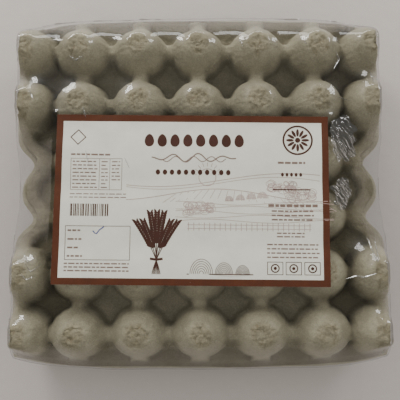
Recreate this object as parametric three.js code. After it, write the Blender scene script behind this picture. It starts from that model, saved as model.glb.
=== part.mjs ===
// A shut pack for thirty eggs: two moulded-pulp trays laid face to face, with a paper label on the cups of
// the upper one. The pack lies on the cups of its lower tray. Millimetres, +Z up, X across the pack, Y along
// it, and the origin under the middle of the pack, on the surface that carries it.
//
// A tray is a grid of cups, seven across and six along. The cups of the two outer columns stand a little
// closer in and are cut in half by the tray's side, and the two middle rows have no half cup but a round bite
// in the side, for the fingers.
// Ridges join each cup to its neighbours, and a four-pointed hollow is left between every four cups.
import * as THREE from "three";

// Cup grid
const PITCH_X = 47.6;
const PITCH_Y = 45.5;
const MEAN_PITCH = (PITCH_X + PITCH_Y) / 2;
const LAST_COLUMN = 3;
const LAST_ROW = 2.5;
const LAST_FULL_COLUMN = 2;
const HALF_CUP_COLUMN = 2.88;
const BITE_ROW = 0.5;

// Heights over the plane where the two trays meet
const CROWN_HEIGHT = 40;
const RIDGE_HEIGHT = 22;
const BITE_RIDGE_HEIGHT = 12;
const HOLLOW_HEIGHT = 4;
const FLANGE_HEIGHT = 2.8;
const TRAY_GAP = 0.3;

// Cup section: CUP_FULL_HEIGHT * (1 - (r / CUP_RADIUS) ^ CUP_BULGE) ^ CUP_DRAFT, flat at CROWN_HEIGHT. The
// cups of the first and last row are narrower towards the rim, by END_CUP_SQUEEZE.
const CUP_RADIUS = 23.3;
const CUP_FULL_HEIGHT = 42;
const CUP_BULGE = 2;
const CUP_DRAFT = 0.5;
const END_CUP_SQUEEZE = 1.12;

// Ridge section: its height * (1 - (distance / RIDGE_HALF_WIDTH) ^ RIDGE_BULGE) ^ RIDGE_DRAFT
const RIDGE_HALF_WIDTH = 8.6;
const RIDGE_BULGE = 3.2;
const RIDGE_DRAFT = 0.7;
const BLEND = 9;

// Rim, in pitches from the middle: how far it reaches, and how the sides are shaped. The rim stands a little
// further out at the +Y end than at the other, by twice END_SHIFT.
const SIDE_REACH = 3.17;
const END_REACH = 3.165;
const END_SHIFT = 0.055;
const WAIST_DEPTH = 0.1;
const WAIST_LENGTH = 0.7;
const BITE_DEPTH = 0.25;
const BITE_WIDTH = 0.24;
const END_BOW = 0.16;
const CORNER_START = 2.6;
const CORNER_CUT = 0.35;

// Rim, in millimetres: flange widths, and the rise of the walls for each millimetre inwards
const SIDE_FLANGE = 3.5;
const END_FLANGE = 3;
const SIDE_WALL_RISE = 7;
const END_WALL_RISE = 3.5;
const SIDE_RIDGE_INSET = 9.5;
const LOWER_FLANGE_EXTRA = 1.2;

// Label
const LABEL_WIDTH = 210;
const LABEL_LENGTH = 131;
const LABEL_CENTRE = [-5.7, -11.8];
const LABEL_TURN = THREE.MathUtils.degToRad(-1);
const LABEL_THICKNESS = 0.4;
const LABEL_GAP = 0.4;
const LABEL_SAG = 1;
const LABEL_COLUMNS = 20;
const LABEL_ROWS = 12;

// Mesh lines of a tray: eight to a pitch, and closer where the wall meets the flange
const LINES_PER_PITCH = 8;
const LAST_REGULAR_LINE = 23;
const SIDE_LINES = [2.975, 3.03, 3.097, SIDE_REACH];
const END_LINES = [2.94, 3.099, END_REACH];
const STRETCH_START = 2.5;

const { smoothstep } = THREE.MathUtils;

// The larger of two heights, with the crease between them rounded over BLEND.
function blendedMax(a, b) {
  const near = Math.max(BLEND - Math.abs(a - b), 0) / BLEND;
  return Math.max(a, b) + (near * near * BLEND) / 4;
}

// A ridge's height at a distance from its crest line.
function ridge(crest, distance) {
  const across = Math.min(Math.abs(distance) / RIDGE_HALF_WIDTH, 1);
  return crest * (1 - across ** RIDGE_BULGE) ** RIDGE_DRAFT;
}

// Half the tray's width, in pitches, at v pitches along it.
function sideReach(v) {
  const along = Math.abs(v);
  const waist = WAIST_DEPTH * Math.exp(-((v / WAIST_LENGTH) ** 2));
  const bite = BITE_DEPTH * Math.exp(-(((along - BITE_ROW) / BITE_WIDTH) ** 2));
  const corner = CORNER_CUT * (Math.max(along - CORNER_START, 0) / (END_REACH - CORNER_START)) ** 3;
  return SIDE_REACH - waist - bite - corner;
}

// How far the tray reaches along, in pitches from the middle, at u pitches across it, towards one end.
function endReach(u, end) {
  const across = Math.abs(u) / LAST_COLUMN;
  return END_REACH + END_SHIFT * end - END_BOW * across ** 4;
}

// Millimetres from a point to the tray's side, measured square to the side.
function fromSide(u, v) {
  const step = 0.01;
  const slope = ((sideReach(v + step) - sideReach(v - step)) * PITCH_X) / (2 * step * PITCH_Y);
  return ((sideReach(v) - Math.abs(u)) * PITCH_X) / Math.hypot(1, slope);
}

// The cup that a point belongs to: full height at its crown, none past its foot.
function cup(u, v) {
  const column = THREE.MathUtils.clamp(Math.round(u), -LAST_COLUMN, LAST_COLUMN);
  const row = THREE.MathUtils.clamp(Math.floor(v) + 0.5, -LAST_ROW, LAST_ROW);
  if (Math.abs(column) > LAST_FULL_COLUMN && Math.abs(row) <= BITE_ROW) return 0;
  const squeeze = Math.abs(v) > LAST_ROW ? END_CUP_SQUEEZE : 1;
  const centre = THREE.MathUtils.clamp(column, -HALF_CUP_COLUMN, HALF_CUP_COLUMN);
  const radius = Math.hypot(u - centre, (v - row) * squeeze) * MEAN_PITCH;
  const fall = 1 - Math.min(radius / CUP_RADIUS, 1) ** CUP_BULGE;
  return Math.min(CUP_FULL_HEIGHT * fall ** CUP_DRAFT, CROWN_HEIGHT);
}

// The ridges that join the cups of a row, those that join the cups of a column, and the one along the side.
function ridges(u, v) {
  const row = THREE.MathUtils.clamp(Math.floor(v) + 0.5, -LAST_ROW, LAST_ROW);
  const column = THREE.MathUtils.clamp(Math.round(u), -LAST_FULL_COLUMN, LAST_FULL_COLUMN);
  const bite = Math.abs(row) <= BITE_ROW ? smoothstep(Math.abs(u), 2.2, 2.7) : 0;
  const rowCrest = THREE.MathUtils.lerp(RIDGE_HEIGHT, BITE_RIDGE_HEIGHT, bite);
  const alongRow = ridge(rowCrest, (v - row) * PITCH_Y);
  const alongColumn = ridge(RIDGE_HEIGHT, (u - column) * PITCH_X);
  const sideCrest = THREE.MathUtils.lerp(BITE_RIDGE_HEIGHT, RIDGE_HEIGHT, smoothstep(Math.abs(v), 0.8, 1.3));
  const alongSide = ridge(sideCrest, fromSide(u, v) - SIDE_RIDGE_INSET);
  return blendedMax(blendedMax(alongRow, alongColumn), alongSide);
}

// Height of a tray's outer surface over the plane where the trays meet.
function trayHeight(u, v) {
  const body = blendedMax(blendedMax(cup(u, v), ridges(u, v)), HOLLOW_HEIGHT);
  const sideRoom = Math.max(fromSide(u, v) - SIDE_FLANGE, 0) * SIDE_WALL_RISE;
  const fromEnd = (endReach(u, Math.sign(v)) - Math.abs(v)) * PITCH_Y;
  const endRoom = Math.max(fromEnd - END_FLANGE, 0) * END_WALL_RISE;
  return Math.min(body, CROWN_HEIGHT, FLANGE_HEIGHT + Math.min(sideRoom, endRoom));
}

// The mesh lines across a tray, from one rim to the other, with the given closer lines next to each rim.
function meshLines(rimLines) {
  const half = Array.from({ length: LAST_REGULAR_LINE }, (_, i) => (i + 1) / LINES_PER_PITCH);
  const outwards = [...half, ...rimLines];
  return [...outwards.map((line) => -line).reverse(), 0, ...outwards];
}

// Moves a line's outer part in or out, so that the last line falls on the rim.
function stretched(line, lineReach, reach) {
  const outer = Math.max(Math.abs(line) - STRETCH_START, 0) / (lineReach - STRETCH_START);
  return Math.sign(line) * (Math.min(Math.abs(line), STRETCH_START) + outer * (reach - STRETCH_START));
}

// Closes a grid of surface points with walls down to a flat base at z = baseHeight, fanned from baseCentre.
function closedOverBase(points, columns, rows, baseHeight, baseCentre) {
  const positions = points.flat();
  const faces = [];
  const at = (i, j) => j * columns + i;
  const height = (index) => positions[index * 3 + 2];
  for (let j = 0; j < rows - 1; j += 1) {
    for (let i = 0; i < columns - 1; i += 1) {
      const [a, b, c, d] = [at(i, j), at(i + 1, j), at(i + 1, j + 1), at(i, j + 1)];
      const level = Math.abs(height(a) - height(c)) <= Math.abs(height(b) - height(d));
      faces.push(...(level ? [a, b, c, a, c, d] : [a, b, d, b, c, d]));
    }
  }
  const rim = [];
  for (let i = 0; i < columns - 1; i += 1) rim.push(at(i, 0));
  for (let j = 0; j < rows - 1; j += 1) rim.push(at(columns - 1, j));
  for (let i = columns - 1; i > 0; i -= 1) rim.push(at(i, rows - 1));
  for (let j = rows - 1; j > 0; j -= 1) rim.push(at(0, j));
  const foot = positions.length / 3;
  for (const index of rim) positions.push(positions[index * 3], positions[index * 3 + 1], baseHeight);
  const centre = foot + rim.length;
  positions.push(baseCentre[0], baseCentre[1], baseHeight);
  rim.forEach((top, k) => {
    const next = (k + 1) % rim.length;
    faces.push(foot + k, foot + next, top, foot + next, rim[next], top);
    faces.push(centre, foot + next, foot + k);
  });
  return indexedGeometry(positions, faces);
}

function indexedGeometry(positions, faces) {
  const geometry = new THREE.BufferGeometry();
  geometry.setAttribute("position", new THREE.Float32BufferAttribute(positions, 3));
  geometry.setIndex(faces);
  geometry.computeVertexNormals();
  return geometry;
}

// One tray with its cups up, standing on the plane z = 0, its flange wider all round by flangeExtra.
function trayGeometry(flangeExtra) {
  const across = meshLines(SIDE_LINES);
  const along = meshLines(END_LINES);
  const points = [];
  for (const lineV of along) {
    for (const lineU of across) {
      const v = stretched(lineV, END_REACH, endReach(lineU, Math.sign(lineV)));
      const u = stretched(lineU, SIDE_REACH, sideReach(v));
      const outX = Math.abs(lineU) === SIDE_REACH ? Math.sign(u) * flangeExtra : 0;
      const outY = Math.abs(lineV) === END_REACH ? Math.sign(v) * flangeExtra : 0;
      points.push([u * PITCH_X + outX, v * PITCH_Y + outY, trayHeight(u, v)]);
    }
  }
  return closedOverBase(points, across.length, along.length, TRAY_GAP / 2, [0, 0]);
}

// The label: a thin sheet that touches down on the crowns and sags a little between them.
function labelGeometry() {
  const positions = [];
  const faces = [];
  const columns = LABEL_COLUMNS + 1;
  const rows = LABEL_ROWS + 1;
  const sheet = columns * rows;
  for (const lift of [LABEL_THICKNESS, 0]) {
    for (let j = 0; j < rows; j += 1) {
      for (let i = 0; i < columns; i += 1) {
        const across = (i / LABEL_COLUMNS - 0.5) * LABEL_WIDTH;
        const along = (j / LABEL_ROWS - 0.5) * LABEL_LENGTH;
        const x = LABEL_CENTRE[0] + across * Math.cos(LABEL_TURN) - along * Math.sin(LABEL_TURN);
        const y = LABEL_CENTRE[1] + across * Math.sin(LABEL_TURN) + along * Math.cos(LABEL_TURN);
        const overCrown = (Math.cos((Math.PI * x) / PITCH_X) * Math.sin((Math.PI * y) / PITCH_Y)) ** 2;
        const sag = LABEL_SAG * (1 - overCrown) ** 2;
        positions.push(x, y, CROWN_HEIGHT + LABEL_GAP - sag + lift);
      }
    }
  }
  for (let j = 0; j < LABEL_ROWS; j += 1) {
    for (let i = 0; i < LABEL_COLUMNS; i += 1) {
      const a = j * columns + i;
      faces.push(a, a + 1, a + columns + 1, a, a + columns + 1, a + columns);
      faces.push(sheet + a, sheet + a + columns + 1, sheet + a + 1);
      faces.push(sheet + a, sheet + a + columns, sheet + a + columns + 1);
    }
  }
  const edge = (from, to) => faces.push(sheet + from, sheet + to, to, sheet + from, to, from);
  for (let i = 0; i < LABEL_COLUMNS; i += 1) {
    edge(i, i + 1);
    edge(LABEL_ROWS * columns + i + 1, LABEL_ROWS * columns + i);
  }
  for (let j = 0; j < LABEL_ROWS; j += 1) {
    edge(j * columns + LABEL_COLUMNS, (j + 1) * columns + LABEL_COLUMNS);
    edge((j + 1) * columns, j * columns);
  }
  return indexedGeometry(positions, faces);
}

function pulp(colour) {
  return new THREE.MeshStandardMaterial({ color: colour, roughness: 0.95, metalness: 0 });
}

const trayFront = new THREE.Mesh(trayGeometry(0), pulp(0x85806a));
trayFront.name = "tray_front";

const trayBack = new THREE.Mesh(trayGeometry(LOWER_FLANGE_EXTRA), pulp(0x7f7a64));
trayBack.name = "tray_back";
trayBack.rotation.y = Math.PI;

const label = new THREE.Mesh(
  labelGeometry(),
  new THREE.MeshStandardMaterial({ color: 0xcfccc4, roughness: 0.55, metalness: 0 }),
);
label.name = "label";

const trays = new THREE.Group();
trays.add(trayFront, trayBack, label);
trays.position.set(0, -END_SHIFT * PITCH_Y, CROWN_HEIGHT);

const pack = new THREE.Group();
pack.add(trays);

export default pack;
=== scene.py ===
"""A shut pack for thirty eggs: two pulp trays face to face, a printed label and clear shrink film.

Every shape is worked out in millimetres over the plane where the two trays meet, as whole arrays, and put
into its mesh in metres. u and v count cup pitches across and along the pack from its middle.
"""

import math

import bpy
import numpy as np
from mathutils import Matrix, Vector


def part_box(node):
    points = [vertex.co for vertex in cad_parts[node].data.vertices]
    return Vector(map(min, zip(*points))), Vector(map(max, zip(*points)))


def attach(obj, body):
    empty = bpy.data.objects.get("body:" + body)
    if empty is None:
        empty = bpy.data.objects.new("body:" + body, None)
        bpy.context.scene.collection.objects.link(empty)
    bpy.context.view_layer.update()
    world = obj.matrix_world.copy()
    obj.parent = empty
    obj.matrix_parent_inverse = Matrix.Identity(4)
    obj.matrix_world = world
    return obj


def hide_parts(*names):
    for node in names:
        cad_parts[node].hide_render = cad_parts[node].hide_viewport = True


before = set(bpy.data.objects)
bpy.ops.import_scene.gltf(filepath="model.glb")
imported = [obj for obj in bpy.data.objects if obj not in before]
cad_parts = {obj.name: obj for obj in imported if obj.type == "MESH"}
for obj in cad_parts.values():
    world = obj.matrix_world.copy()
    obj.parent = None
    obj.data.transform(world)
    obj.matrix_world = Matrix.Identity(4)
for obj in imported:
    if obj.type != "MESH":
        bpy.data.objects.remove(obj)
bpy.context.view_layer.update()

MM = 0.001
NOISE_CELLS = 128

# --- The pack's measures ---

PITCH_X = 47.6
PITCH_Y = 45.5
MEAN_PITCH = (PITCH_X + PITCH_Y) / 2
LAST_COLUMN = 3
LAST_ROW = 2.5
LAST_FULL_COLUMN = 2
HALF_CUP_COLUMN = 2.88
BITE_ROW = 0.5

MEETING_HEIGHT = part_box("tray_front")[1].z / 2 / MM
CROWN_HEIGHT = MEETING_HEIGHT
RIDGE_HEIGHT = 22.0
BITE_RIDGE_HEIGHT = 12.0
HOLLOW_HEIGHT = 4.0
FLANGE_HEIGHT = 2.8
TRAY_GAP = 0.3

CUP_RADIUS = 23.3
CUP_FULL_HEIGHT = 42.0
CUP_BULGE = 2.0
CUP_DRAFT = 0.5
END_CUP_SQUEEZE = 1.12

RIDGE_HALF_WIDTH = 8.6
RIDGE_BULGE = 3.2
RIDGE_DRAFT = 0.7
BLEND = 9.0

SIDE_REACH = 3.17
END_REACH = 3.165
END_SHIFT = 0.055
WAIST_DEPTH = 0.1
WAIST_LENGTH = 0.7
BITE_DEPTH = 0.25
BITE_WIDTH = 0.24
END_BOW = 0.16
CORNER_START = 2.6
CORNER_CUT = 0.35
STRETCH_START = 2.5

SIDE_FLANGE = 3.5
END_FLANGE = 3.0
SIDE_WALL_RISE = 7.0
END_WALL_RISE = 3.5
SIDE_RIDGE_INSET = 9.5
LOWER_FLANGE_EXTRA = 1.2

MIDDLE_Y = -END_SHIFT * PITCH_Y

LABEL_WIDTH = 210.0
LABEL_LENGTH = 131.0
LABEL_CENTRE = (-5.7, -11.8)
LABEL_TURN = math.radians(-1)
TURN_COS, TURN_SIN = math.cos(LABEL_TURN), math.sin(LABEL_TURN)
LABEL_THICKNESS = 0.4
LABEL_GAP = 0.4
LABEL_SAG = 1.0


# --- Meshes ---


def linked(name, data):
    """A new object of that data, in the scene."""
    item = bpy.data.objects.new(name, data)
    bpy.context.scene.collection.objects.link(item)
    return item


def make_piece(name, points, faces, material, smooth=True):
    """A mesh object from points in millimetres over the meeting plane, and faces as rows of point numbers."""
    lifted = np.asarray(points, float) + (0.0, MIDDLE_Y, MEETING_HEIGHT)
    mesh = bpy.data.meshes.new(name)
    mesh.from_pydata((lifted * MM).tolist(), [], [list(face) for face in faces])
    mesh.polygons.foreach_set("use_smooth", np.full(len(mesh.polygons), smooth))
    mesh.materials.append(material)
    mesh.update()
    piece = linked(name, mesh)
    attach(piece, "root")
    return piece


def grid_faces(rows, columns):
    """The quads between neighbouring points of a grid stored row after row, facing +Z where rows run +Y."""
    first = (np.arange(rows - 1)[:, None] * columns + np.arange(columns - 1)[None, :]).ravel()
    return np.stack([first, first + 1, first + columns + 1, first + columns], axis=1)


def grid_rim(rows, columns):
    """The numbers of a grid's edge points, once round, anticlockwise seen from +Z."""
    numbers = np.arange(rows * columns).reshape(rows, columns)
    return np.concatenate([numbers[0, :-1], numbers[:-1, -1], numbers[-1, :0:-1], numbers[:0:-1, 0]])


def smoothstep(value, low, high):
    """0 below low, 1 above high, and 3t^2 - 2t^3 between."""
    t = np.clip((value - low) / (high - low), 0.0, 1.0)
    return t * t * (3.0 - 2.0 * t)


def noise(x, y, size, seed):
    """Smooth noise from -1 to 1: random values on a square lattice of that size, eased between its points."""
    values = np.random.default_rng(seed).uniform(-1.0, 1.0, (NOISE_CELLS, NOISE_CELLS))
    column, row = np.floor(x / size).astype(int), np.floor(y / size).astype(int)
    across = smoothstep(x / size - column, 0.0, 1.0)
    along = smoothstep(y / size - row, 0.0, 1.0)

    def corner(i, j):
        return values[(column + i) % NOISE_CELLS, (row + j) % NOISE_CELLS]

    near = corner(0, 0) * (1 - across) + corner(1, 0) * across
    far = corner(0, 1) * (1 - across) + corner(1, 1) * across
    return near * (1 - along) + far * along


def creases(x, y, size, seed):
    """Lines of 1 on 0, where smooth noise passes through zero: (1 - |noise|) to the sixth power."""
    return (1.0 - np.abs(noise(x, y, size, seed))) ** 6


def surface_normals(points):
    """Unit normals of a grid of points: the cross product of its differences along rows and columns."""
    along_row = np.gradient(points, axis=1)
    along_column = np.gradient(points, axis=0)
    normals = np.cross(along_row, along_column)
    return normals / np.maximum(np.linalg.norm(normals, axis=2, keepdims=True), 1e-9)


# --- Tray shape ---


def blended_max(a, b):
    """The larger of two heights, plus a parabola of BLEND / 4 at most where they are nearly alike."""
    near = np.maximum(BLEND - np.abs(a - b), 0.0) / BLEND
    return np.maximum(a, b) + near * near * BLEND / 4


def ridge(crest, distance):
    """A ridge's section: crest * (1 - (distance / half width) ^ bulge) ^ draft."""
    across = np.minimum(np.abs(distance) / RIDGE_HALF_WIDTH, 1.0)
    return crest * (1.0 - across**RIDGE_BULGE) ** RIDGE_DRAFT


def waisted_reach(v):
    """Half the width, in pitches, without the bites: drawn in a little at the waist, cut at the corners."""
    waist = WAIST_DEPTH * np.exp(-((v / WAIST_LENGTH) ** 2))
    corner = np.maximum(np.abs(v) - CORNER_START, 0.0) / (END_REACH - CORNER_START)
    return SIDE_REACH - waist - CORNER_CUT * corner**3


def side_reach(v):
    """Half the tray's width, in pitches: the waisted reach less a bell-shaped bite on each middle row."""
    return waisted_reach(v) - BITE_DEPTH * np.exp(-(((np.abs(v) - BITE_ROW) / BITE_WIDTH) ** 2))


def end_reach(u, v):
    """How far the tray reaches along, in pitches, towards v's end: bowed, by the fourth power of u."""
    return END_REACH + END_SHIFT * np.sign(v) - END_BOW * (np.abs(u) / LAST_COLUMN) ** 4


def from_side(u, v):
    """Millimetres to the side: the distance across, divided by the length of the side's slope."""
    step = 0.01
    slope = (side_reach(v + step) - side_reach(v - step)) * PITCH_X / (2 * step * PITCH_Y)
    return (side_reach(v) - np.abs(u)) * PITCH_X / np.hypot(1.0, slope)


def nearest_cup(u, v):
    """The column and row of the cup that each point belongs to, and its distance from the middle of it."""
    column = np.clip(np.round(u), -LAST_COLUMN, LAST_COLUMN)
    row = np.clip(np.floor(v) + 0.5, -LAST_ROW, LAST_ROW)
    squeeze = np.where(np.abs(v) > LAST_ROW, END_CUP_SQUEEZE, 1.0)
    centre = np.clip(column, -HALF_CUP_COLUMN, HALF_CUP_COLUMN)
    return column, row, np.hypot(u - centre, (v - row) * squeeze) * MEAN_PITCH


def cup_height(u, v):
    """A cup's section: full height * (1 - (r / radius) ^ bulge) ^ draft, with no half cup beside a bite."""
    column, row, radius = nearest_cup(u, v)
    fall = 1.0 - np.minimum(radius / CUP_RADIUS, 1.0) ** CUP_BULGE
    missing = (np.abs(column) > LAST_FULL_COLUMN) & (np.abs(row) <= BITE_ROW)
    return np.where(missing, 0.0, np.minimum(CUP_FULL_HEIGHT * fall**CUP_DRAFT, CROWN_HEIGHT))


def ridge_height(u, v):
    """The highest of the ridge along the row, the one along the column and the one along the side."""
    row = np.clip(np.floor(v) + 0.5, -LAST_ROW, LAST_ROW)
    column = np.clip(np.round(u), -LAST_FULL_COLUMN, LAST_FULL_COLUMN)
    bite = np.where(np.abs(row) <= BITE_ROW, smoothstep(np.abs(u), 2.2, 2.7), 0.0)
    along_row = ridge(RIDGE_HEIGHT + (BITE_RIDGE_HEIGHT - RIDGE_HEIGHT) * bite, (v - row) * PITCH_Y)
    along_column = ridge(RIDGE_HEIGHT, (u - column) * PITCH_X)
    rise = smoothstep(np.abs(v), 0.8, 1.3)
    side_crest = BITE_RIDGE_HEIGHT + (RIDGE_HEIGHT - BITE_RIDGE_HEIGHT) * rise
    along_side = ridge(side_crest, from_side(u, v) - SIDE_RIDGE_INSET)
    return blended_max(blended_max(along_row, along_column), along_side)


def tray_height(u, v):
    """Cups, ridges and hollows, held under walls that rise steeply from the flange."""
    body = blended_max(blended_max(cup_height(u, v), ridge_height(u, v)), HOLLOW_HEIGHT)
    side_room = np.maximum(from_side(u, v) - SIDE_FLANGE, 0.0) * SIDE_WALL_RISE
    end_room = np.maximum((end_reach(u, v) - np.abs(v)) * PITCH_Y - END_FLANGE, 0.0) * END_WALL_RISE
    room = FLANGE_HEIGHT + np.minimum(side_room, end_room)
    return np.minimum(np.minimum(body, CROWN_HEIGHT), room)


def stretched(line, line_reach, reach):
    """A mesh line's outer part moved in or out, in proportion, so that the last line falls on the rim."""
    outer = np.maximum(np.abs(line) - STRETCH_START, 0.0) / (line_reach - STRETCH_START)
    return np.sign(line) * (np.minimum(np.abs(line), STRETCH_START) + outer * (reach - STRETCH_START))


# --- Tray surface ---

TRAY_COLUMNS = 301
TRAY_ROWS = 289
UPPER_SEED = 5
LOWER_SEED = 37
PATCH_RADIUS = 9.0
LEAST_CROWN_DROP = 0.3
CROWN_CLOSENESS = 0.45
RIM_BAND = 0.12
RIM_LIFT = 0.5
LEAST_TOP = TRAY_GAP + 1.4
# How strong the painted shade in the hollows is near the edges, in the far rows and in the middle.
EDGE_SHADE = 0.8
FAR_ROW_SHADE = 0.42
MIDDLE_SHADE = 0.2


def patch_mask(u, v, x, y, seed):
    """1 on the rough patch of each crown and 0 off it: round on a full cup, long and narrow on a half cup."""
    column, row, _ = nearest_cup(u, v)
    half = np.abs(column) > LAST_FULL_COLUMN
    across = (u - np.clip(column, -HALF_CUP_COLUMN, HALF_CUP_COLUMN)) * PITCH_X * np.where(half, 1.5, 1.0)
    along = (v - row) * PITCH_Y * np.where(half, 0.62, 0.9)
    missing = half & (np.abs(row) <= BITE_ROW)
    radius = np.hypot(across, along) + 2.2 * noise(x, y, 6.0, seed) + np.where(missing, 99.0, 0.0)
    return smoothstep(radius, PATCH_RADIUS + 0.9, PATCH_RADIUS - 0.9)


def crown_folds(x, y, seed):
    """The lines of the crumpled folds on the crowns, bent by a broader noise: 0 between them, 1 and over on
    them."""
    bent_x, bent_y = x + 2.2 * noise(x, y, 6.0, seed + 3), y + 2.2 * noise(x, y, 6.0, seed + 4)
    return 0.8 * creases(bent_x, bent_y * 0.8, 5.2, seed + 7) + 0.8 * creases(bent_x, bent_y, 2.6, seed + 8)


def pulp_relief(x, y, patch, folds, seed):
    """Soft unevenness everywhere, layers that run across, and on the crowns bumps with folds between them."""
    soft = 0.45 * noise(x, y, 17.0, seed) + 0.25 * noise(x, y, 5.5, seed + 1)
    soft += 0.16 * noise(x, y, 2.4, seed + 2)
    layers = 0.16 * noise(x * 0.25, y + 0.8 * noise(x, y, 9.0, seed + 12), 1.9, seed + 11)
    bumps = 0.55 * noise(x, y, 3.6, seed + 5) + 0.5 * noise(x, y, 1.6, seed + 6)
    return soft + layers + patch * (bumps - 0.8 * folds - 0.7)


def rim_waves(x, y, seed):
    """How far the sides and the ends of a rim wander outwards."""
    return 0.7 * noise(x, y, 23.0, seed + 8), 1.1 * noise(x, y, 33.0, seed + 9)


def closer_lines(reach, count, crown):
    """Mesh lines from -reach to reach, drawn together at each crown by a sine wave of one pitch."""
    even = np.linspace(-reach, reach, count)
    eased = even - CROWN_CLOSENESS * np.sin(2 * np.pi * (even - crown)) / (2 * np.pi)
    return eased * reach / eased[-1]


def painted_hollow_shade(u, v, height):
    """How much painted shade a hollow gets, from 0 to 1: it grows with the depth below the crowns, more so
    towards the ends, the sides and the far rows and most beside the label, and fades at the tray's sides."""
    at_ends = EDGE_SHADE * smoothstep(np.abs(v), LAST_ROW + 0.2, LAST_ROW + 0.35)
    at_sides = EDGE_SHADE * smoothstep(np.abs(u), 1.6, 2.1)
    far_rows = FAR_ROW_SHADE * smoothstep(v, 0.9, 1.6)
    near_edge = np.maximum(np.maximum(at_ends, far_rows), at_sides)
    below = 1.0 - height / CROWN_HEIGHT
    depth = smoothstep(below, 0.45, 0.9) * (MIDDLE_SHADE + EDGE_SHADE * near_edge)
    outer_columns = smoothstep(np.abs(u), 1.8, 2.1) * smoothstep(np.abs(u), 2.9, 2.4)
    beside = outer_columns * smoothstep(np.abs(v), 2.2, 1.8)
    depth = np.maximum(depth, smoothstep(below, 0.15, 0.6) * beside)
    return depth * smoothstep(from_side(u, v), 1.5, 6.0)


def tray_points(seed, flange_extra):
    """The outer surface of a tray with its cups up: the tray's height on stretched lines, moved along its
    normals by the relief, with a wavy rim, and kept under the crown's own height. With it go its masks: the
    painted shade of its hollows, the crowns' rough patches, and the folds in them."""
    lines_u = closer_lines(SIDE_REACH, TRAY_COLUMNS, 0.0)
    lines_v = closer_lines(END_REACH, TRAY_ROWS, 0.5)
    line_u, line_v = np.meshgrid(lines_u, lines_v)
    v = stretched(line_v, END_REACH, end_reach(line_u, line_v))
    u = stretched(line_u, SIDE_REACH, side_reach(v))
    x, y = u * PITCH_X, v * PITCH_Y
    points = np.stack([x, y, tray_height(u, v)], axis=2)
    patch = patch_mask(u, v, x, y, seed + 20)
    folds = crown_folds(x, y, seed)
    points += surface_normals(points) * pulp_relief(x, y, patch, folds, seed)[:, :, None]
    rim_u = smoothstep(np.abs(line_u), SIDE_REACH - RIM_BAND, SIDE_REACH)
    rim_v = smoothstep(np.abs(line_v), END_REACH - RIM_BAND, END_REACH)
    side_wave, end_wave = rim_waves(x, y, seed)
    points[:, :, 0] += np.sign(u) * rim_u * (flange_extra + side_wave)
    points[:, :, 1] += np.sign(v) * rim_v * (flange_extra + end_wave)
    points[:, :, 2] += RIM_LIFT * np.maximum(rim_u, rim_v) * noise(x, y, 37.0, seed + 10)
    points[:, :, 2] = np.clip(points[:, :, 2], LEAST_TOP, CROWN_HEIGHT - LEAST_CROWN_DROP)
    # The painted shade of the hollows, as a mask from 0 to 1.
    depth = painted_hollow_shade(u, v, points[:, :, 2])
    return points, {"depth": depth, "patch": patch, "folds": np.minimum(patch * folds, 1.0)}


def make_tray(name, node, seed, flange_extra, side, material):
    """A tray closed by a wall down to its base and a fan over that base. side is 1 for the upper tray and
    -1 for the lower one, which is the same shape turned over about the Y axis."""
    grid, masks = tray_points(seed, flange_extra)
    rows, columns = grid.shape[:2]
    top = grid.reshape(-1, 3)
    rim = grid_rim(rows, columns)
    base = top[rim] * (1.0, 1.0, 0.0) + (0.0, 0.0, TRAY_GAP / 2)
    foot = len(top) + np.arange(len(rim))
    after = np.roll(foot, -1)
    centre = np.full(len(rim), len(top) + len(rim))
    points = np.concatenate([top, base, [[0.0, 0.0, TRAY_GAP / 2]]]) * (side, 1.0, side)
    faces = grid_faces(rows, columns).tolist()
    faces += np.stack([foot, after, np.roll(rim, -1), rim], axis=1).tolist()
    faces += np.stack([centre, after, foot], axis=1).tolist()
    tray = make_piece(name, points, faces, material)
    for mask, values in masks.items():
        padded = np.concatenate([values.ravel(), np.zeros(len(rim) + 1)])
        tray.data.attributes.new(mask, "FLOAT", "POINT").data.foreach_set("value", padded)
    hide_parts(node)
    return tray


# --- Label ---

LABEL_COLUMNS = 157
LABEL_ROWS = 99


def label_point(across, along, lift=0.0):
    """A point of the label's upper face, from its place on the flat sheet: it touches down on the crowns,
    where the square of cos(pi x / pitch) * sin(pi y / pitch) is 1, and sags between them."""
    x = LABEL_CENTRE[0] + across * TURN_COS - along * TURN_SIN
    y = LABEL_CENTRE[1] + across * TURN_SIN + along * TURN_COS
    over_crown = (np.cos(np.pi * x / PITCH_X) * np.sin(np.pi * y / PITCH_Y)) ** 2
    sag = LABEL_SAG * (1.0 - over_crown) ** 2
    z = CROWN_HEIGHT + LABEL_GAP + LABEL_THICKNESS - sag + lift
    return np.stack(np.broadcast_arrays(x, y, z), axis=-1)


def make_label(material):
    """The sheet's upper and lower faces on one grid, closed round its edge."""
    across, along = np.meshgrid(
        np.linspace(-0.5, 0.5, LABEL_COLUMNS) * LABEL_WIDTH,
        np.linspace(-0.5, 0.5, LABEL_ROWS) * LABEL_LENGTH,
    )
    upper = label_point(across, along).reshape(-1, 3)
    lower = label_point(across, along, -LABEL_THICKNESS).reshape(-1, 3)
    rim = grid_rim(LABEL_ROWS, LABEL_COLUMNS)
    quads = grid_faces(LABEL_ROWS, LABEL_COLUMNS)
    edge = np.stack([rim + len(upper), np.roll(rim, -1) + len(upper), np.roll(rim, -1), rim], axis=1)
    faces = np.concatenate([quads, quads[:, ::-1] + len(upper), edge])
    label = make_piece("label_sheet", np.concatenate([upper, lower]), faces, material)
    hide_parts("label")
    return label


# --- Print on the label ---
# Each shape lies flat on the label's own sheet, in millimetres across and along from the middle.

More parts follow.
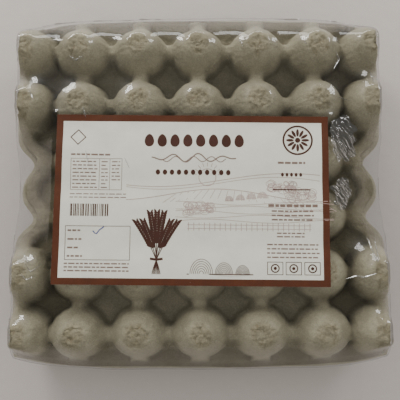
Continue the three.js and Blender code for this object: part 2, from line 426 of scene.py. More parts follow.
INK_LIFT = 0.06
BORDER_WIDTH = 5.1
BORDER_MARGIN = 0.02
LINE_STEP = 6.0
RING_STEPS = 40
TYPE_GAP = 0.9
ROSETTE_PLACE = (81.4, 46.6)
SHEAF_ACROSS = -26.0
LANDSCAPE_MIDDLE = 24.0
SUN_PLACE = (36.0, 17.0)


class Ink:
    """Shapes of one colour, gathered into one mesh that follows the label."""

    def __init__(self, lift=INK_LIFT):
        self.flat, self.faces, self.count, self.lift = [], [], 0, lift

    def add(self, flat, faces):
        """Adds flat points and the faces between them."""
        self.flat.append(flat)
        self.faces += (np.asarray(faces) + self.count).tolist()
        self.count += len(flat)

    def stroke(self, path, width, closed=False):
        """A line of that width: each point of the path moved half the width to either side."""
        path = np.asarray(path, float)
        ahead = np.roll(path, -1, axis=0) - path if closed else np.gradient(path, axis=0)
        behind = path - np.roll(path, 1, axis=0) if closed else ahead
        along = ahead + behind
        along /= np.maximum(np.linalg.norm(along, axis=1, keepdims=True), 1e-9)
        aside = np.stack([-along[:, 1], along[:, 0]], axis=1) * width / 2
        first = np.arange(len(path) if closed else len(path) - 1)
        second = (first + 1) % len(path)
        faces = np.stack([first, second, second + len(path), first + len(path)], axis=1)
        self.add(np.concatenate([path - aside, path + aside]), faces)

    def oval(self, across, along, half_width, half_height, point=0.0, turn=0.0, steps=24):
        """A filled oval, narrower towards its top by point, as an egg is, turned by turn."""
        angle = np.linspace(0, 2 * np.pi, steps, endpoint=False)
        outline = egg_outline(across, along, half_width, half_height, point, turn, angle)
        rim = np.arange(steps)
        faces = np.stack([np.full(steps, steps), rim, np.roll(rim, -1)], axis=1)
        self.add(np.concatenate([outline, [[across, along]]]), faces)

    def ring(self, across, along, radius, width):
        """A circle as a closed stroke."""
        angle = np.linspace(0, 2 * np.pi, RING_STEPS, endpoint=False)
        self.stroke(egg_outline(across, along, radius, radius, 0.0, 0.0, angle), width, True)

    def bar(self, left, right, along, height):
        """A straight horizontal bar."""
        steps = max(2, int((right - left) / LINE_STEP) + 2)
        self.stroke(np.stack([np.linspace(left, right, steps), np.full(steps, along)], axis=1), height)

    def frame(self, left, right, low, high, width):
        """The four sides of a rectangle, each as a bar whose outer edge lies on the rectangle."""
        half = width / 2
        self.bar(left, right, high - half, width)
        self.bar(left, right, low + half, width)
        for across in (left + half, right - half):
            steps = max(2, int((high - low) / LINE_STEP) + 2)
            path = np.stack([np.full(steps, across), np.linspace(low + width, high - width, steps)], axis=1)
            self.stroke(path, width)

    def lines(self, left, right, tops, height, seed):
        """Rows of small type as broken bars: each row is dashes of random lengths with gaps between."""
        draw = np.random.default_rng(seed)
        for along in tops:
            start = left
            while start < right - 1.0:
                length = min(draw.uniform(1.6, 5.0), right - start)
                self.bar(start, start + length, along, height)
                start += length + TYPE_GAP

    def mirror(self, middle):
        """Turns all gathered shapes left to right about a line across the sheet."""
        for number, flat in enumerate(self.flat):
            self.flat[number] = flat * (-1.0, 1.0) + (2 * middle, 0.0)
        self.faces = [face[::-1] for face in self.faces]

    def piece(self, name, material):
        """The gathered shapes as one piece."""
        flat = np.concatenate(self.flat)
        return make_piece(name, label_point(flat[:, 0], flat[:, 1], self.lift), self.faces, material)


def egg_outline(across, along, half_width, half_height, point, turn, angle):
    """An oval whose width shrinks with height: half width * cos * (1 - point * sin), then turned."""
    side = half_width * np.cos(angle) * (1.0 - point * np.sin(angle))
    height = half_height * np.sin(angle)
    cos, sin = math.cos(turn), math.sin(turn)
    return np.stack([side * cos - height * sin, side * sin + height * cos], axis=1) + (across, along)


def curve(low, high, height, steps=60):
    """Points of a height function from low to high across the label."""
    across = np.linspace(low, high, steps)
    return np.stack([across, height(across)], axis=1)


def print_border(ink):
    """The broad frame round the whole label."""
    half_width, half_length = LABEL_WIDTH / 2 - BORDER_MARGIN, LABEL_LENGTH / 2 - BORDER_MARGIN
    ink.frame(-half_width, half_width, -half_length, half_length, BORDER_WIDTH)


def print_heading(ink):
    """A row of bold eggs, and further down a row of beads."""
    for column in range(8):
        ink.oval(-33.0 + column * 9.9, 45.6, 3.6, 5.0, 0.16)
    for column in range(11):
        ink.oval(-26.0 + column * 5.4, 20.8, 1.7, 2.1)


def print_flourish(ink):
    """Two wavy pen lines that swell and fade, one over the other."""
    ink.stroke(curve(-31, 34, lambda a: 32.0 + 3.4 * np.sin(a / 3.1) * np.cos(a / 22.0), 150), 0.9)
    ink.stroke(curve(-22, 26, lambda a: 31.0 + 2.0 * np.sin(a / 2.2 + 1.0), 120), 0.6)


def print_rosette(ink):
    """A ring with twelve petals in it, top right."""
    across, along = ROSETTE_PLACE
    ink.ring(across, along, 11.0, 1.4)
    for petal in range(12):
        turn = petal * math.pi / 6
        ink.oval(across - 5.9 * math.sin(turn), along + 5.9 * math.cos(turn), 1.1, 3.0, 0.0, turn, 12)
    ink.oval(across, along, 2.0, 2.0)


def print_table(ink):
    """A ruled table with short rows of small type, and the bars and boxes below it."""
    left, right, high, low = -93.0, -53.5, 31.0, 6.5
    ink.frame(left, right, low, high, 0.35)
    for across in (-71.0, -63.0):
        ink.stroke([[across, low], [across, high]], 0.3)
    ink.lines(left + 1.5, -72.5, np.linspace(high - 2.5, low + 2, 8), 0.9, 3)
    ink.lines(-69.5, -64.5, np.linspace(high - 2.5, low + 2, 8), 0.8, 4)
    ink.lines(-61.5, -55.0, np.linspace(high - 2.5, low + 8, 6), 0.8, 5)
    ink.lines(left, -62.0, (34.0,), 1.3, 6)
    ink.lines(left, -50.0, (3.4, 0.8), 0.7, 7)


def print_stripes(ink):
    """A block of upright stripes of uneven width, left of the middle."""
    draw = np.random.default_rng(11)
    across = -92.0
    while across < -63.5:
        width = draw.choice([0.35, 0.6, 0.95])
        ink.stroke([[across, -13.6], [across, -4.2]], width)
        across += width + draw.choice([0.45, 0.7, 1.0])


def print_fields(ink, rules):
    """An empty box to write in, with a few words' worth of bars, and three rows of small type under it."""
    ink.frame(-95.5, -46.0, -47.0, -21.0, 0.4)
    for along, right in ((-24.6, -84.0), (-31.2, -83.0), (-37.6, -85.5), (-44.0, -82.0)):
        rules.lines(-93.6, right, (along,), 1.3, int(-along))
    rules.lines(-95.5, -46.5, (-49.6, -52.3, -55.0), 1.0, 12)


def print_side(ink, rules):
    """A diamond, top left, and the right-hand column: a row of beads, bars of type and three small frames."""
    ink.stroke([[-88.0, 53.4], [-82.3, 47.6], [-88.0, 41.8], [-93.7, 47.6]], 1.0, True)
    rules.lines(66.0, 87.0, (28.8,), 1.6, 13)
    for column in range(5):
        ink.oval(69.5 + column * 3.5, 19.6, 1.1, 1.5)
    ink.stroke([[62.0, 8.0], [91.0, 8.0]], 0.8)
    rules.lines(58.5, 96.0, (-4.4,), 2.2, 14)
    rules.lines(61.0, 93.0, (-8.6, -11.9, -15.2), 1.2, 15)
    rules.lines(65.0, 86.0, (-25.4, -28.0), 1.0, 16)
    rules.lines(57.5, 97.0, (-34.0, -37.2, -40.4, -43.6), 1.0, 17)
    for column in range(3):
        left = 57.5 + column * 14.0
        ink.frame(left, left + 12.0, -56.8, -47.0, 0.45)
        ink.ring(left + 6.0, -51.9, 2.9, 0.9)
        ink.oval(left + 6.0, -51.9, 1.2, 1.2)


def print_hedge(ink, left, right, base, size, seed):
    """A hedge as one scribbled line: loops of uneven size that wander along and pile up on each other."""
    draw = np.random.default_rng(seed)
    loops = int((right - left) / size * 3.2)
    turn = np.linspace(0, 2 * np.pi * loops, loops * 14)
    swing = np.interp(turn, np.linspace(0, turn[-1], loops), draw.uniform(0.35, 1.1, loops)) * size
    rise = np.interp(turn, np.linspace(0, turn[-1], loops), draw.uniform(0.4, 1.6, loops)) * size
    across = left + (right - left) * (0.5 - 0.5 * np.cos(turn / turn[-1] * 3 * np.pi)) + swing * np.cos(turn)
    ink.stroke(np.stack([across, base + rise + swing * 0.8 * np.sin(turn)], axis=1), 0.32)


def print_haystack(ink, across, base, width):
    """A haystack: a round-topped outline with hatching that follows it."""
    for layer in np.linspace(1.0, 0.2, 6):
        half = width / 2 * layer
        angle = np.linspace(0, math.pi, 16)
        ink.stroke(np.stack([across + half * np.cos(angle), base + 1.3 * half * np.sin(angle)], axis=1), 0.4)


def print_landscape(ink):
    """Faint line work: rolling fields with furrows, hedges, a row of haystacks, a fence and a low sun, drawn
    and then turned left to right."""
    ink.stroke(curve(-50, 98, lambda a: 15.0 + 5.5 * np.sin(a / 33.0 + 2.4)), 0.5)
    ink.stroke(curve(-50, 98, lambda a: 12.5 + 5.0 * np.sin(a / 29.0 + 2.2)), 0.4)
    ink.stroke(curve(-58, 98, lambda a: 3.5 + 4.5 * np.sin(a / 24.0 + 0.4)), 0.55)
    for depth in range(5):
        low = -3.0 - 3.4 * depth
        ink.stroke(curve(-60, 60, lambda a, low=low: low + 1.3 * np.sin(a / 15.0 + 0.8 * low)), 0.38)
    for furrow in np.linspace(-50, 60, 23):
        top = 3.0 + 4.5 * math.sin(furrow / 24.0 + 0.4)
        ink.stroke([[furrow * 1.2 - 2.0, top - 7.0], [furrow, top]], 0.32)
    hedges = ((-44, -27, 2, 4.2, 41), (-30, -12, 8, 3.2, 42), (33, 52, -9, 3.6, 43))
    for left, right, base, size, seed in hedges:
        print_hedge(ink, left, right, base, size, seed)
        print_hedge(ink, left, right, base - size, size, seed + 10)
    for stack in range(4):
        print_haystack(ink, -6.0 + 8.4 * stack, 1.0 - 0.8 * stack, 7.6 - 0.5 * stack)
    ink.ring(*SUN_PLACE, 6.5, 0.5)
    reach = np.array([8.5, 11.5])
    for ray in np.linspace(0.25, math.pi - 0.25, 9):
        ends = [SUN_PLACE[0] + reach * math.cos(ray), SUN_PLACE[1] + reach * math.sin(ray)]
        ink.stroke(np.stack(ends, axis=1), 0.45)
    for post in np.linspace(-42, 50, 24):
        ink.stroke([[post, -24.0], [post, -18.0]], 0.5)
    for rail in (-19.6, -22.4):
        ink.stroke(curve(-43, 51, lambda a, rail=rail: np.full_like(a, rail)), 0.4)
    ink.mirror(LANDSCAPE_MIDDLE)


def print_wheat(ink):
    """A sheaf of seven ears of wheat: bent stalks with pairs of grains, tied by a band."""
    for stalk in range(7):
        lean = (stalk - 3) * 0.2
        height = np.linspace(0.0, 1.0, 26)
        across = SHEAF_ACROSS + lean * (27.0 * height**1.5 - 5.0 * (1 - height))
        along = -57.0 + 50.0 * height * (1.0 - 0.07 * abs(stalk - 3) - 0.06 * (stalk % 2))
        ink.stroke(np.stack([across, along], axis=1), 0.6)
        for grain in range(13, 26):
            for side in (-1, 1):
                turn = -lean - side * 0.5
                ink.oval(across[grain] + side * 1.3, along[grain] + 0.6, 0.8, 1.9, 0.2, turn, 10)
    band = [[SHEAF_ACROSS - 4.8, -45.5], [SHEAF_ACROSS, -46.2], [SHEAF_ACROSS + 4.8, -45.5]]
    ink.stroke(band, 1.8)


def print_stacks(ink):
    """Three bold haystacks in a row on a line of ground."""
    for across, width in ((8.0, 17.0), (25.0, 13.0), (39.0, 10.0)):
        print_haystack(ink, across, -56.5, width)
    ink.stroke([[-3.0, -56.8], [47.0, -56.8]], 0.7)


def print_tick(ink):
    """A pen's tick in the box."""
    ink.stroke([[-74.6, -24.8], [-73.0, -26.6], [-71.8, -27.0], [-69.4, -24.0], [-66.2, -21.6]], 0.8)


# --- Film ---

FILM_CLEARANCE = 0.2
RIM_STEP = 0.02
FILM_LIP = 0.5
FILM_PULL = 0.004
END_PULL = 0.009
END_SWELL = 0.025
FILM_STEPS = 1600
LABEL_MARGIN = 1.5
FAR_BELOW = -100.0
RIM_START = 0.965
RIM_ROOM = 0.6
UPPER_GRID = (301, 289)
LOWER_GRID = (151, 145)
UPPER_FILM_SEED = 71
LOWER_FILM_SEED = 83


def film_lines(reach, count):
    """Mesh lines from rim to rim, with the last but one close inside the rim, where the film turns down."""
    inner = np.linspace(-reach, reach, count - 2)
    return np.concatenate([[-reach - RIM_STEP], inner, [reach + RIM_STEP]])


def label_top(x, y):
    """The label's upper height where the label lies, and far below the pack elsewhere."""
    dx, dy = x - LABEL_CENTRE[0], y - LABEL_CENTRE[1]
    across, along = dx * TURN_COS + dy * TURN_SIN, dy * TURN_COS - dx * TURN_SIN
    inside = np.abs(across) < LABEL_WIDTH / 2 + LABEL_MARGIN
    inside &= np.abs(along) < LABEL_LENGTH / 2 + LABEL_MARGIN
    return np.where(inside, label_point(across, along)[..., 2] + INK_LIFT, FAR_BELOW)


def stretched_over(under, pull):
    """A sheet under tension laid over heights: each free point falls to the mean of its neighbours less the
    pull, and stops on what lies under it. The edge stays in the meeting plane."""
    sheet = np.full(under.shape, under.max())
    sheet[0, :] = sheet[-1, :] = sheet[:, 0] = sheet[:, -1] = 0.0
    for _ in range(FILM_STEPS):
        mean = (sheet[2:, 1:-1] + sheet[:-2, 1:-1] + sheet[1:-1, 2:] + sheet[1:-1, :-2]) / 4
        sheet[1:-1, 1:-1] = np.maximum(mean - pull[1:-1, 1:-1], under[1:-1, 1:-1])
    return sheet


def film_half(side, columns, rows):
    """One half of the film on its grid, with the grid's own lines. side is 1 over the upper tray and label,
    -1 under the lower tray."""
    line_u, line_v = np.meshgrid(film_lines(SIDE_REACH, columns), film_lines(END_REACH, rows))
    lip = FILM_LIP + LOWER_FLANGE_EXTRA
    v = stretched(line_v, END_REACH, end_reach(line_u, line_v))
    u = stretched(line_u, SIDE_REACH, waisted_reach(v))
    side_wave, end_wave = rim_waves(-u * PITCH_X, v * PITCH_Y, LOWER_SEED)
    v = stretched(line_v, END_REACH, end_reach(line_u, line_v) + (lip + end_wave) / PITCH_Y)
    u = stretched(line_u, SIDE_REACH, waisted_reach(v) + (lip + side_wave) / PITCH_X)
    x, y = u * PITCH_X, v * PITCH_Y
    inside = (np.abs(u) < side_reach(v)) & (np.abs(v) < end_reach(u, v))
    under = np.where(inside, tray_height(u, v) - LEAST_CROWN_DROP, 0.0)
    on_rim = np.maximum(np.abs(line_u) / SIDE_REACH, np.abs(line_v) / END_REACH) > RIM_START
    under = np.where(on_rim & (side_reach(v) > waisted_reach(v) - 0.05), FLANGE_HEIGHT + RIM_ROOM, under)
    if side > 0:
        under = np.maximum(under, label_top(x, y))
    wide = under.copy()
    for shift in (-1, 1):
        wide = np.maximum(wide, np.roll(under, shift, axis=0))
        wide = np.maximum(wide, np.roll(under, shift, axis=1))
    past_end = smoothstep(line_v, LAST_ROW - 0.1, LAST_ROW + 0.1)
    cell = 2 * SIDE_REACH * PITCH_X / columns
    near_end = smoothstep(line_v, LAST_ROW - 0.4, LAST_ROW - 0.1)
    pull = (FILM_PULL + END_PULL * near_end - END_SWELL * past_end) * cell * cell
    sheet = stretched_over(wide + FILM_CLEARANCE * (side > 0) + 0.1, pull)
    points = np.stack([x, y, sheet], axis=2)
    return points, line_u, line_v


def film_ripples(x, y, seed):
    """How far the film stands off: long shallow ripples."""
    return 0.22 * (1 + noise(x * 0.5, y, 11.0, seed)) + 0.1 * (1 + noise(x * 0.35, y, 4.5, seed + 1))


def make_film_half(name, side, grid, seed, material):
    """One half of the film as a piece, with ripples on the upper one."""
    points, line_u, line_v = film_half(side, *grid)
    free = (np.abs(line_u) <= SIDE_REACH) & (np.abs(line_v) <= END_REACH)
    ripples = film_ripples(points[:, :, 0], points[:, :, 1], seed)
    points += surface_normals(points) * (ripples * free * (side > 0))[:, :, None]
    faces = grid_faces(*points.shape[:2])
    make_piece(name, points.reshape(-1, 3) * (1.0, 1.0, side), faces[:, ::side], material)
    return points


CREASE_FINENESS = 4
CREASE_LIFT = 0.3
FOLD_WIDTH = 1.5
FINE_FOLD_WIDTH = 0.8
FOLD_RISE = 0.9
FOLD_LIFT = 0.25
CRUMPLED_PATCHES = ((113.5, 35.0, 11.0, 19.0, 0.16, 91), (110.0, -7.0, 8.5, 11.0, 0.2, 93))
FOLD_PATHS = (
    ((131, -41), (134, -61), (139, -39)),
    ((110, -73), (118, -71), (124, -72), (133, -69)),
    ((-102, 104), (-97, 100), (-90, 103)),
    ((136, 93), (139, 85), (137, 78)),
    ((109, 107), (112, 99), (107, 91)),
    ((-148, 138), (-134, 141), (-115, 143), (-96, 144)),
    ((-88, 145), (-58, 146), (-30, 145)),
    ((62, 144), (94, 144), (124, 142)),
    ((132, 140), (144, 137), (150, 131)),
)
FINE_FOLD_PATHS = (
    ((-135, -51), (-130, -59), (-124, -55)),
    ((-133, -58), (-127, -66), (-119, -60)),
    ((-136, -66), (-130, -72), (-124, -69)),
    ((-90, 62), (-87, 52)),
    ((-87, 27), (-84, 15)),
    ((-57, 21), (-53, 12)),
    ((33, 117), (36, 110)),
    ((83, 117), (86, 110)),
    ((109, 68), (120, 65)),
    ((-132, 76), (-129, 68)),
)


def refined(grid, fineness):
    """A grid of points with straight steps put in between its rows and columns."""
    for axis in (0, 1):
        count = grid.shape[axis]
        fine = np.linspace(0, count - 1, (count - 1) * fineness + 1)
        low = np.minimum(fine.astype(int), count - 2)
        shape = (-1, 1, 1) if axis == 0 else (1, -1, 1)
        share = (fine - low).reshape(shape)
        grid = np.take(grid, low, axis) * (1 - share) + np.take(grid, low + 1, axis) * share
    return grid


def crumpled_patch(film, patch):
    """A patch of the film crumpled into sharp folds that slant across it: the film's own points, refined, and
    lifted by ridges of stretched noise. Faces outside a wavy oval are left out."""
    centre_x, centre_y, half_x, half_y, stretch, seed = patch
    near_x = np.abs(film[:, :, 0] - centre_x) < half_x * 1.3
    near = near_x & (np.abs(film[:, :, 1] - centre_y) < half_y * 1.3)
    in_rows, in_columns = np.nonzero(near.any(axis=1))[0], np.nonzero(near.any(axis=0))[0]
    grid = refined(film[in_rows[0]:in_rows[-1], in_columns[0]:in_columns[-1]], CREASE_FINENESS)
    x, y = grid[:, :, 0], grid[:, :, 1]
    over, along = (x + y) / math.sqrt(2), (x - y) / math.sqrt(2) * stretch
    bent = over + noise(x, y, 5.0, seed)
    folds = 0.8 * np.abs(noise(bent, along, 1.9, seed + 1))
    folds += 0.25 * np.abs(noise(bent, along * 1.7, 0.9, seed + 2))
    grid[:, :, 2] += CREASE_LIFT + folds
    distance = np.hypot((x - centre_x) / half_x, (y - centre_y) / half_y) + 0.3 * noise(x, y, 4.0, seed + 3)
    faces = grid_faces(*grid.shape[:2])
    inside = (distance.ravel()[faces] < 1.0).all(axis=1)
    return grid.reshape(-1, 3), faces[inside]


def standing_fold(film, path, width):
    """A fold that stands on the film along a rounded path: a ridge with a sharp crest, thin at both ends."""
    corners = np.array(path, dtype=float)
    steps = np.linspace(0, len(corners) - 1, 14 * len(corners))
    line = np.stack([np.interp(steps, np.arange(len(corners)), corners[:, i]) for i in (0, 1)], axis=1)
    line[1:-1] = (line[:-2] + 2 * line[1:-1] + line[2:]) / 4
    ahead = np.gradient(line, axis=0)
    beside = np.stack([-ahead[:, 1], ahead[:, 0]], axis=1) / np.linalg.norm(ahead, axis=1, keepdims=True)
    thick = np.sin(np.linspace(0.05, math.pi - 0.05, len(line))) * width / 2
    points = []
    for offset, rise in ((-1, 0.0), (0, FOLD_RISE), (1, 0.0)):
        place = line + beside * (thick * offset)[:, None]
        flat = [np.argmin((film[:, :, 0] - x) ** 2 + (film[:, :, 1] - y) ** 2) for x, y in place]
        height = film[:, :, 2].ravel()[flat]
        height[1:-1] = (height[:-2] + height[1:-1] + height[2:]) / 3
        points.append(np.column_stack([place, height + FOLD_LIFT + thick * rise]))
    grid = np.stack(points, axis=1)
    return grid.reshape(-1, 3), grid_faces(len(line), 3)[:, ::-1]


def joined_piece(name, parts, material):
    """One flat-shaded piece of several parts, each its points and faces, without the points left unused."""
    starts = np.cumsum([0] + [len(points) for points, _ in parts])
    faces = np.concatenate([part_faces + start for (_, part_faces), start in zip(parts, starts)])
    used, renumbered = np.unique(faces, return_inverse=True)
    points = np.concatenate([points for points, _ in parts])[used]
    make_piece(name, points, renumbered.reshape(faces.shape), material, smooth=False)


def make_film(material, crumpled_material, folded_material):
    """The upper and the lower half of the film, which meet all round in the meeting plane, and on the upper
    half the crumpled patches and the standing folds."""
    upper = make_film_half("film_upper", 1, UPPER_GRID, UPPER_FILM_SEED, material)
    make_film_half("film_lower", -1, LOWER_GRID, LOWER_FILM_SEED, material)
    patches = [crumpled_patch(upper, patch) for patch in CRUMPLED_PATCHES]
    folds = [standing_fold(upper, path, FOLD_WIDTH) for path in FOLD_PATHS]
    folds += [standing_fold(upper, path, FINE_FOLD_WIDTH) for path in FINE_FOLD_PATHS]
    joined_piece("film_crumples", patches, crumpled_material)
    joined_piece("film_folds", folds, folded_material)


# --- Materials ---

PULP_LIGHT = (0.33, 0.302, 0.213, 1)
PULP_DARK = (0.262, 0.238, 0.166, 1)
# The colour of the painted shade in the hollows.
PULP_HOLLOW_SHADE = (0.30, 0.275, 0.215, 1)
PATCH_TINT = (0.91, 0.875, 0.82, 1)
# The colour of the painted shade in the crowns' folds.
FOLD_SHADE = (0.84, 0.82, 0.79, 1)
PAPER_WHITE = (0.87, 0.855, 0.735, 1)
BORDER_BROWN = (0.13, 0.029, 0.004, 1)
INK_BROWN = (0.085, 0.022, 0.008, 1)
INK_GREY_BROWN = (0.26, 0.17, 0.13, 1)
INK_FAINT = (0.50, 0.36, 0.32, 1)
INK_BLUE = (0.03, 0.06, 0.28, 1)
FILM_TINT = (0.96, 0.965, 0.97, 1)
CREASE_TINT = (0.9, 0.905, 0.91, 1)
PULP_ROUGHNESS = 0.92
PULP_SPECULAR = 0.15
FIBRE_SCALE = 900.0
FILM_ROUGHNESS = 0.05
SOFT_ROUGHNESS = 0.35
EDGE_GLOSS = 0.7
EDGE_POWER = 4.0

# Each kind of film's least gloss, and the share of it that is soft.
CLEAR_GLOSS = (0.05, 0.5)
CREASE_GLOSS = (0.45, 0.12)
FOLD_GLOSS = (0.3, 0.5)


def new_material(name):
    """An empty node material, its node tree and the piece's own coordinates in it."""
    material = bpy.data.materials.new(name)
    material.use_nodes = True
    tree = material.node_tree
    tree.nodes.clear()
    return material, tree, tree.nodes.new("ShaderNodeTexCoord").outputs["Object"]


def add(tree, kind, **values):
    """A node with its inputs and settings set by name."""
    node = tree.nodes.new(kind)
    for key, value in values.items():
        if key in node.inputs:
            node.inputs[key].default_value = value
        else:
            setattr(node, key, value)
    return node


def noise_node(tree, vector, scale, detail, roughness=0.5):
    """A noise texture on the piece's own coordinates."""
    node = add(tree, "ShaderNodeTexNoise", Scale=scale, Detail=detail, Roughness=roughness)
    tree.links.new(vector, node.inputs["Vector"])
    return node.outputs["Fac"]


def ramp(tree, value, stops):
    """A colour ramp through stops of (position, colour)."""
    node = tree.nodes.new("ShaderNodeValToRGB")
    node.color_ramp.elements[0].position, node.color_ramp.elements[0].color = stops[0]
    node.color_ramp.elements[1].position, node.color_ramp.elements[1].color = stops[-1]
    for position, colour in stops[1:-1]:
        node.color_ramp.elements.new(position).color = colour
    tree.links.new(value, node.inputs["Fac"])
    return node.outputs["Color"]


def grey(value):
    """A grey of that value as a colour."""
    return (value, value, value, 1)


def math_node(tree, operation, value, *numbers):
    """A math node on a socket, with plain numbers as its other inputs."""
    node = add(tree, "ShaderNodeMath", operation=operation)
    tree.links.new(value, node.inputs[0])
    for number, socket in zip(numbers, node.inputs[1:]):
        socket.default_value = number
    return node


def mix_shaders(tree, share, first, second):
    """A share of the second shader in the first."""
    node = tree.nodes.new("ShaderNodeMixShader")
    for source, socket in zip((share, first, second), node.inputs):
        tree.links.new(source.outputs[0], socket)
    return node


def mix(tree, kind, factor, first, second):
    """One colour mixed into another, by a number or by a socket."""
    node = tree.nodes.new("ShaderNodeMix")
    node.data_type, node.blend_type = "RGBA", kind
    sockets = (node.inputs["Factor"], node.inputs[6], node.inputs[7])
    for socket, value in zip(sockets, (factor, first, second)):
        if isinstance(value, bpy.types.NodeSocket):
            tree.links.new(value, socket)
        else:
            socket.default_value = value
    return node.outputs[2]


def bump(tree, height, distance, strength=1.0, below=None):
    """A bump whose height is in metres of distance."""
    node = add(tree, "ShaderNodeBump", Distance=distance, Strength=strength)
    tree.links.new(height, node.inputs["Height"])
    if below is not None:
        tree.links.new(below, node.inputs["Normal"])
    return node.outputs["Normal"]


def finished(material, shader):
    """The material, with a shader joined to its output."""
    output = add(material.node_tree, "ShaderNodeOutputMaterial")
    material.node_tree.links.new(shader.outputs[0], output.inputs["Surface"])
    return material


def mask_node(tree, name):
    """One of the piece's own masks."""
    return add(tree, "ShaderNodeAttribute", attribute_name=name).outputs["Fac"]


def pulp_material(name):
    """Moulded pulp: mottled grey-olive with dark fibres and pale specks, with painted shade down in the
    hollows and in the crowns' folds, and darker in blotches on their rough patches."""
    material, tree, where = new_material(name)
    mottle = ramp(tree, noise_node(tree, where, 70.0, 4.0), [(0.35, PULP_DARK), (0.65, PULP_LIGHT)])
    fibres = ramp(tree, noise_node(tree, where, FIBRE_SCALE, 2.0), [(0.42, grey(0.72)), (0.6, grey(1))])
    specks = ramp(tree, noise_node(tree, where, 420.0, 1.0), [(0.66, grey(0)), (0.74, grey(0.12))])
    colour = mix(tree, "MULTIPLY", 0.55, mottle, fibres)
    colour = mix(tree, "SCREEN", 0.35, colour, specks)
    # Painted shade in the crowns' folds.
    folded = ramp(tree, mask_node(tree, "folds"), [(0.2, grey(1)), (0.9, FOLD_SHADE)])
    colour = mix(tree, "MULTIPLY", 1.0, colour, folded)
    # Painted shade down in the hollows, mixed in by the depth mask.
    shade_painted_below = mix(tree, "MULTIPLY", 1.0, colour, PULP_HOLLOW_SHADE)
    colour = mix(tree, "MIX", mask_node(tree, "depth"), colour, shade_painted_below)
    patch_toned = mix(tree, "MULTIPLY", 1.0, colour, PATCH_TINT)
    blotch = ramp(tree, noise_node(tree, where, 160.0, 3.0), [(0.35, grey(0.35)), (0.65, grey(1))])
    on_patch = mix(tree, "MULTIPLY", 1.0, mask_node(tree, "patch"), blotch)
    colour = mix(tree, "MIX", on_patch, colour, patch_toned)
    shader = add(tree, "ShaderNodeBsdfPrincipled", Roughness=PULP_ROUGHNESS)
    shader.inputs["Specular IOR Level"].default_value = PULP_SPECULAR
    tree.links.new(colour, shader.inputs["Base Color"])
    coarse = bump(tree, noise_node(tree, where, 260.0, 3.0), 0.001)
    fine = bump(tree, noise_node(tree, where, FIBRE_SCALE, 2.0), 0.0005, 1.0, coarse)
    tree.links.new(fine, shader.inputs["Normal"])
    return finished(material, shader)


def paper_material(name, colour, roughness, grain):
    """Smooth printed paper: one colour with a faint cloudiness, and a slight waviness of its surface."""
    material, tree, where = new_material(name)
    shade = tuple(channel * (1.0 - grain) for channel in colour[:3]) + (1.0,)
    cloudy = ramp(tree, noise_node(tree, where, 130.0, 5.0, 0.65), [(0.3, shade), (0.7, colour)])
    shader = add(tree, "ShaderNodeBsdfPrincipled", Roughness=roughness)
    tree.links.new(cloudy, shader.inputs["Base Color"])
    tree.links.new(bump(tree, noise_node(tree, where, 60.0, 2.0), 0.0008, 0.5), shader.inputs["Normal"])
    return finished(material, shader)


def film_material(name, tint, least_gloss, soft_share):
    """Clear film: see-through, with fine flow lines and a thin gloss that grows towards grazing angles, and a
    softer gloss that is a share of it."""
    material, tree, where = new_material(name)
    clear = add(tree, "ShaderNodeBsdfTransparent", Color=tint)
    gloss = add(tree, "ShaderNodeBsdfAnisotropic", Roughness=FILM_ROUGHNESS)
    tree.links.new(bump(tree, noise_node(tree, where, 45.0, 3.0), 0.0012, 0.35), gloss.inputs["Normal"])
    facing = add(tree, "ShaderNodeLayerWeight", Blend=0.5)
    steep = math_node(tree, "POWER", facing.outputs["Facing"], EDGE_POWER)
    gleam = math_node(tree, "MULTIPLY_ADD", steep.outputs[0], EDGE_GLOSS, least_gloss)
    gleam.use_clamp = True
    both = mix_shaders(tree, gleam, clear, gloss)
    soft = add(tree, "ShaderNodeBsdfAnisotropic", Roughness=SOFT_ROUGHNESS)
    veil = math_node(tree, "MULTIPLY", gleam.outputs[0], soft_share)
    return finished(material, mix_shaders(tree, veil, both, soft))


# --- The pack ---


def make_print():
    """All that is printed or written on the label, one piece for each ink."""
    border, bold, faint, type_rows, pen = Ink(), Ink(), Ink(0.04), Ink(), Ink(0.08)
    print_border(border)
    for motif in (print_heading, print_rosette, print_stripes, print_wheat, print_stacks):
        motif(bold)
    print_flourish(type_rows)
    print_table(type_rows)
    print_fields(bold, type_rows)
    print_side(bold, type_rows)
    print_landscape(faint)
    print_tick(pen)
    inks = (
        (border, "print_border", "border_brown", BORDER_BROWN, 0.4, 0.25),
        (bold, "print_bold", "ink_brown", INK_BROWN, 0.45, 0.2),
        (type_rows, "print_type", "ink_grey_brown", INK_GREY_BROWN, 0.5, 0.2),
        (faint, "print_landscape", "ink_faint", INK_FAINT, 0.5, 0.1),
        (pen, "pen_tick", "ink_blue", INK_BLUE, 0.5, 0.1),
    )
    for ink, name, *paint in inks:
        piece = ink.piece(name, paper_material(*paint))


def make_pack():
    """The two trays, the label with its print, and the film round them."""
    upper = make_tray("tray_upper", "tray_front", UPPER_SEED, 0.0, 1, pulp_material("pulp"))
    lower_pulp = pulp_material("pulp_lower")
    lower = make_tray("tray_lower", "tray_back", LOWER_SEED, LOWER_FLANGE_EXTRA, -1, lower_pulp)
    label = make_label(paper_material("label_paper", PAPER_WHITE, 0.42, 0.06))
    make_print()
    clear = film_material("clear_film", FILM_TINT, *CLEAR_GLOSS)
    crumpled = film_material("crumpled_film", CREASE_TINT, *CREASE_GLOSS)
    make_film(clear, crumpled, film_material("folded_film", FILM_TINT, *FOLD_GLOSS))


# --- Camera, floor and light ---

FLOOR_COLOUR = (0.49, 0.445, 0.41, 1)
FLOOR_HALF_SIDE = 30.0
FLOOR_DROP = 0.0001
SURROUND_COLOUR = (1.0, 0.985, 0.96, 1)
SURROUND_STRENGTH = 0.88
SURROUND_IN_GLOSS = 0.12
SENSOR_WIDTH = 36.0
IMAGE_SIDE = 400
FOCAL_PIXELS = 611.9
CAMERA_PLACE = (2.0, -75.2, 542.8)
CAMERA_AIM = (0.8, -15.0, 80.0)
CAMERA_ROLL = 0.0078
CLIP_START = 0.01

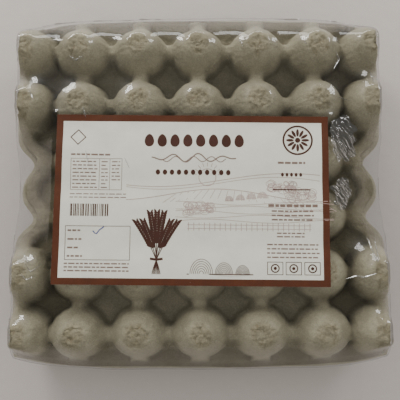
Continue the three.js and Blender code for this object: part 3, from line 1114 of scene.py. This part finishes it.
# Each lamp's name, place, aim and two sides in metres, its power in watts and its colour.
LAMPS = (
    ("key", (-0.7, 1.05, 0.7), (0, 0, 0.05), (0.5, 0.4), 11.5, (1.0, 0.98, 0.95)),
    ("fill", (0.9, 0.75, 0.62), (0.1, 0, 0.05), (0.4, 0.4), 5.0, (1.0, 0.99, 0.98)),
    ("far", (-0.1, 1.15, 0.32), (0, 0, 0.08), (1.1, 0.3), 6.5, (1.0, 0.99, 0.97)),
)


def looking(place, aim, upwards):
    """The matrix of a camera or lamp at a place, in metres, that looks at its aim with its top upwards."""
    back = (place - aim) / np.linalg.norm(place - aim)
    right = np.cross(upwards, back)
    right /= np.linalg.norm(right)
    matrix = np.eye(4)
    matrix[:3, 0], matrix[:3, 1], matrix[:3, 2], matrix[:3, 3] = right, np.cross(back, right), back, place
    return Matrix(matrix.tolist())


def make_camera():
    """The camera over the pack, a little below its middle, looking down and a little up the pack."""
    camera = linked("camera", bpy.data.cameras.new("camera"))
    camera.data.sensor_width = SENSOR_WIDTH
    camera.data.lens = FOCAL_PIXELS / IMAGE_SIDE * SENSOR_WIDTH
    camera.data.clip_start = CLIP_START
    place, aim = np.array(CAMERA_PLACE) * MM, np.array(CAMERA_AIM) * MM
    camera.matrix_world = looking(place, aim, (math.sin(CAMERA_ROLL), math.cos(CAMERA_ROLL), 0.0))
    bpy.context.scene.camera = camera


def make_floor():
    """The pale floor that the pack lies on, with a faint cloudiness."""
    mesh = bpy.data.meshes.new("floor")
    signs = ((-1, -1), (1, -1), (1, 1), (-1, 1))
    corners = [(x * FLOOR_HALF_SIDE, y * FLOOR_HALF_SIDE, -FLOOR_DROP) for x, y in signs]
    mesh.from_pydata(corners, [], [(0, 1, 2, 3)])
    mesh.materials.append(paper_material("floor_paint", FLOOR_COLOUR, 0.6, 0.03))
    floor = linked("floor", mesh)


def make_light(name, place, aim, size, power, colour):
    """A soft rectangular light at a place, turned to an aim, both in metres."""
    data = bpy.data.lights.new(name, "AREA")
    data.shape, data.size, data.size_y = "RECTANGLE", size[0], size[1]
    data.energy, data.color = power, colour
    linked(name, data).matrix_world = looking(np.array(place), np.array(aim), (0.0, 0.0, 1.0))


def make_world():
    """An even pale surround, which glossy surfaces mirror as a dimmer one."""
    world = bpy.data.worlds.new("surround")
    world.use_nodes = True
    tree = world.node_tree
    glossy = add(tree, "ShaderNodeLightPath").outputs["Is Glossy Ray"]
    change = SURROUND_IN_GLOSS - SURROUND_STRENGTH
    strength = math_node(tree, "MULTIPLY_ADD", glossy, change, SURROUND_STRENGTH)
    background = tree.nodes["Background"]
    background.inputs["Color"].default_value = SURROUND_COLOUR
    tree.links.new(strength.outputs[0], background.inputs["Strength"])
    bpy.context.scene.world = world


make_pack()
make_camera()
make_floor()
make_world()
for lamp in LAMPS:
    make_light(*lamp)
